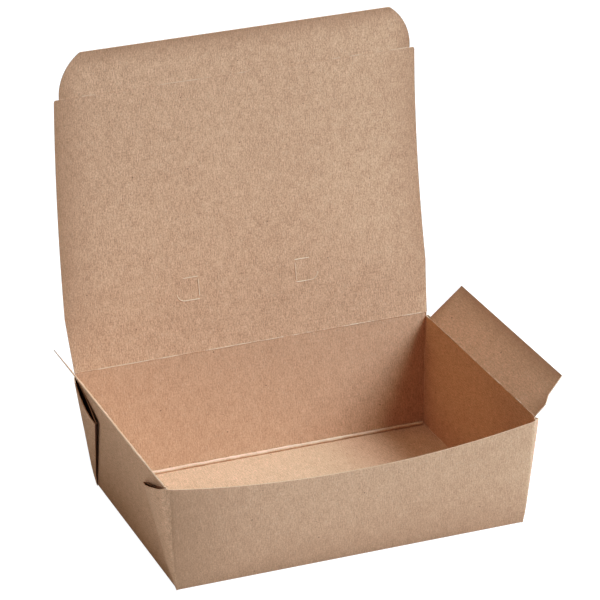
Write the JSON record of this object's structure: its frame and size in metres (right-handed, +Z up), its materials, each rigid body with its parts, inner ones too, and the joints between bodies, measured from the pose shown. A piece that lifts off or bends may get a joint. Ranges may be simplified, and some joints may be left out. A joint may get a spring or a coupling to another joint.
{
  "type": "takeaway box",
  "caption": "Open takeaway food box folded from one brown paperboard sheet: flared tray with web corners, arched hinged lid with tuck flap, and hinged side flaps.",
  "frame": {"origin": "centre of the bottom panel's underside, on the surface the box stands on", "axes": "+X right along the front wall, +Y to the back wall and the lid, +Z up"},
  "size_m": [0.2412, 0.1698, 0.2468],
  "materials": {
    "board": "matte, uncoated, unbleached brown paperboard"
  },
  "bodies": {
    "tray": {"tray": "board"},
    "lid": {"lid": "board"},
    "tuck_flap": {"tuck_flap": "board"},
    "left_flap": {"left_flap": "board"},
    "right_flap": {"right_flap": "board"}
  },
  "joints": [
    {"name": "lid_crease", "type": "hinge", "parent": "tray", "child": "lid", "pos_m": [0, 0.07882, 0.0651], "axis": [1, 0, 0], "range_deg": [-86.4, 93.5]},
    {"name": "tuck_crease", "type": "hinge", "parent": "lid", "child": "tuck_flap", "pos_m": [0, 0.08849, 0.22087], "axis": [1, 0, 0], "range_deg": [0, 95]},
    {"name": "left_flap_crease", "type": "hinge", "parent": "tray", "child": "left_flap", "pos_m": [-0.10395, 0, 0.0635], "axis": [0, 1, 0], "range_deg": [-57, 123]},
    {"name": "right_flap_crease", "type": "hinge", "parent": "tray", "child": "right_flap", "pos_m": [0.10395, 0, 0.0635], "axis": [0, -1, 0], "range_deg": [-43, 137]}
  ]
}
